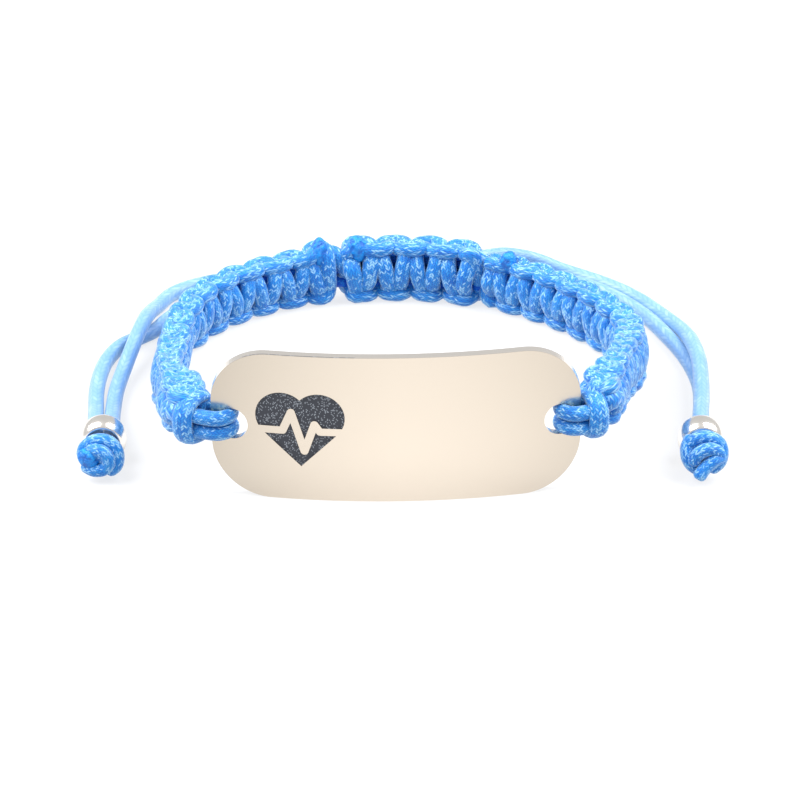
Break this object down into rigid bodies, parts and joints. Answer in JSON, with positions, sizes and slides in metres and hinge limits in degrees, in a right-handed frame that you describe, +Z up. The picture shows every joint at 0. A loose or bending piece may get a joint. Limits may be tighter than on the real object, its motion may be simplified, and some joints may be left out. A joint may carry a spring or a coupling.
{
  "type": "engraved identity bracelet",
  "caption": "Adjustable identity bracelet: curved steel plate with an engraved heart, blue knotted cord straps, sliding knot closure, and beaded cord tails.",
  "frame": {"origin": "middle of the bracelet's ring at the surface it rests on, without the loose tails", "axes": "+X to the right as the plate is read, -Y out of the plate's face, +Z up"},
  "size_m": [0.0745, 0.0588, 0.018],
  "materials": {
    "plate_steel": "polished, with a dark engraved mark",
    "bead_steel": "polished",
    "blue_cord": "braided nylon with a silky sheen"
  },
  "bodies": {
    "root": {"id_plate": "plate_steel", "left_upper_loop": "blue_cord", "left_lower_loop": "blue_cord", "right_upper_loop": "blue_cord", "right_lower_loop": "blue_cord", "left_strap": "blue_cord", "right_strap": "blue_cord", "sliding_knot": "blue_cord", "left_outer_tail": "blue_cord", "left_inner_tail": "blue_cord", "right_outer_tail": "blue_cord", "right_inner_tail": "blue_cord", "left_bead": "bead_steel", "right_bead": "bead_steel", "left_end_knot": "blue_cord", "right_end_knot": "blue_cord"}
  },
  "joints": []
}
